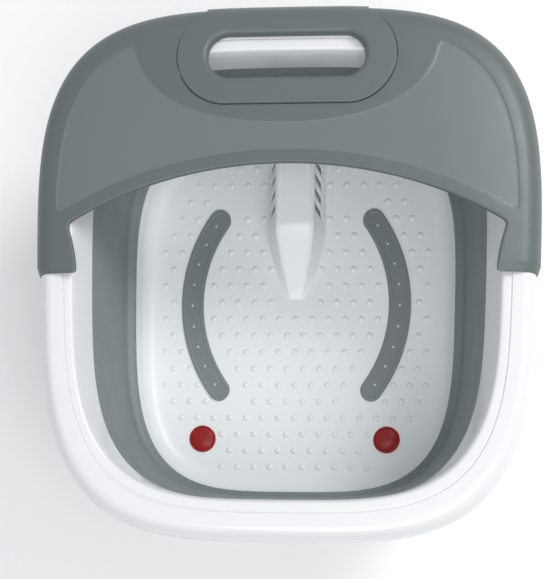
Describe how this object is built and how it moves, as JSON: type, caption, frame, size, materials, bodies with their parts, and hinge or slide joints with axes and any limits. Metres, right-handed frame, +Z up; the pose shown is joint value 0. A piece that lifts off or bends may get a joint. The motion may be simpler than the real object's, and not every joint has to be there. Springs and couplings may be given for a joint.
{
  "type": "collapsible foot spa basin",
  "caption": "Collapsible foot bath: low base with nubbed footbed, centre ridge, air strips and lit windows, soft folding wall, rim frame and splash guard with carry handle.",
  "frame": {"origin": "on the ground under the middle of the whole expanded basin", "axes": "+X to the right seen from the heel end, +Y to the toe end with the splash guard and handle, +Z up"},
  "size_m": [0.396, 0.413, 0.215],
  "materials": {
    "white_shell": "glossy white moulded plastic",
    "white_frame": "glossy white moulded plastic",
    "footbed_white": "satin white moulded plastic with raised nubs",
    "guard_grey": "satin grey moulded plastic",
    "handle_grey": "satin grey moulded plastic, slightly darker",
    "soft_wall_grey": "matt grey soft rubber",
    "strip_grey": "matt grey soft rubber",
    "lens_red": "translucent deep red",
    "rubber_dark": "matt dark rubber",
    "inner_plastic": "plain moulded plastic",
    "dark_plastic": "black moulded plastic",
    "steel": "bright steel",
    "aluminium_plate": "rolled aluminium",
    "board_green": "lacquered circuit board",
    "tube_clear": "milky soft tube",
    "button_white": "glossy white"
  },
  "bodies": {
    "base": {"bellows": "soft_wall_grey", "lower_clamp_ring": "inner_plastic", "base_shell": "white_shell", "rubber_feet": "rubber_dark", "base_screws": "steel", "tub_gasket": "rubber_dark", "footbed": "footbed_white", "center_ridge": "footbed_white", "bubble_strip_left": "strip_grey", "bubble_strip_right": "strip_grey", "light_lens_left": "lens_red", "light_lens_right": "lens_red", "lens_seals": "rubber_dark", "light_boards": "board_green", "heater_plate": "aluminium_plate", "heating_element": "steel", "thermostat": "dark_plastic", "thermal_fuse": "steel", "blower_housing": "inner_plastic", "blower_lid": "inner_plastic", "blower_motor": "dark_plastic", "air_manifold": "inner_plastic", "air_tube_left": "tube_clear", "air_tube_right": "tube_clear", "vibration_motor": "steel", "vibration_bracket": "inner_plastic", "control_board": "board_green", "board_components": "dark_plastic", "push_switch": "dark_plastic", "button_bezel": "handle_grey", "button_spring": "steel", "power_inlet": "dark_plastic", "inlet_pins": "steel", "wire_harness": "rubber_dark"},
    "frame": {"rim_cap": "white_frame", "frame_skirt": "white_frame", "frame_screws": "steel", "upper_clamp_ring": "inner_plastic", "splash_guard": "guard_grey", "guard_screws": "steel", "handle_bezel": "handle_grey"},
    "blower_rotor": {"impeller_shaft": "steel", "blower_impeller": "inner_plastic"},
    "vibration_rotor": {"vibration_shaft": "steel", "eccentric_weight": "steel"},
    "button": {"button_cap": "button_white"}
  },
  "joints": [
    {"name": "collapse", "type": "slide", "parent": "base", "child": "frame", "axis": [0, 0, -1], "range_m": [0, 0.09], "deforming": ["bellows"]},
    {"name": "blower_spin", "type": "hinge", "parent": "base", "child": "blower_rotor", "pos_m": [0, 0.1163, 0.025], "axis": [0, 0, 1], "continuous": true},
    {"name": "vibration_spin", "type": "hinge", "parent": "base", "child": "vibration_rotor", "pos_m": [0.02, -0.0797, 0.025], "axis": [1, 0, 0], "continuous": true},
    {"name": "button_press", "type": "slide", "parent": "base", "child": "button", "axis": [0, 1, 0], "range_m": [0, 0.0012], "deforming": ["button_spring"]}
  ]
}
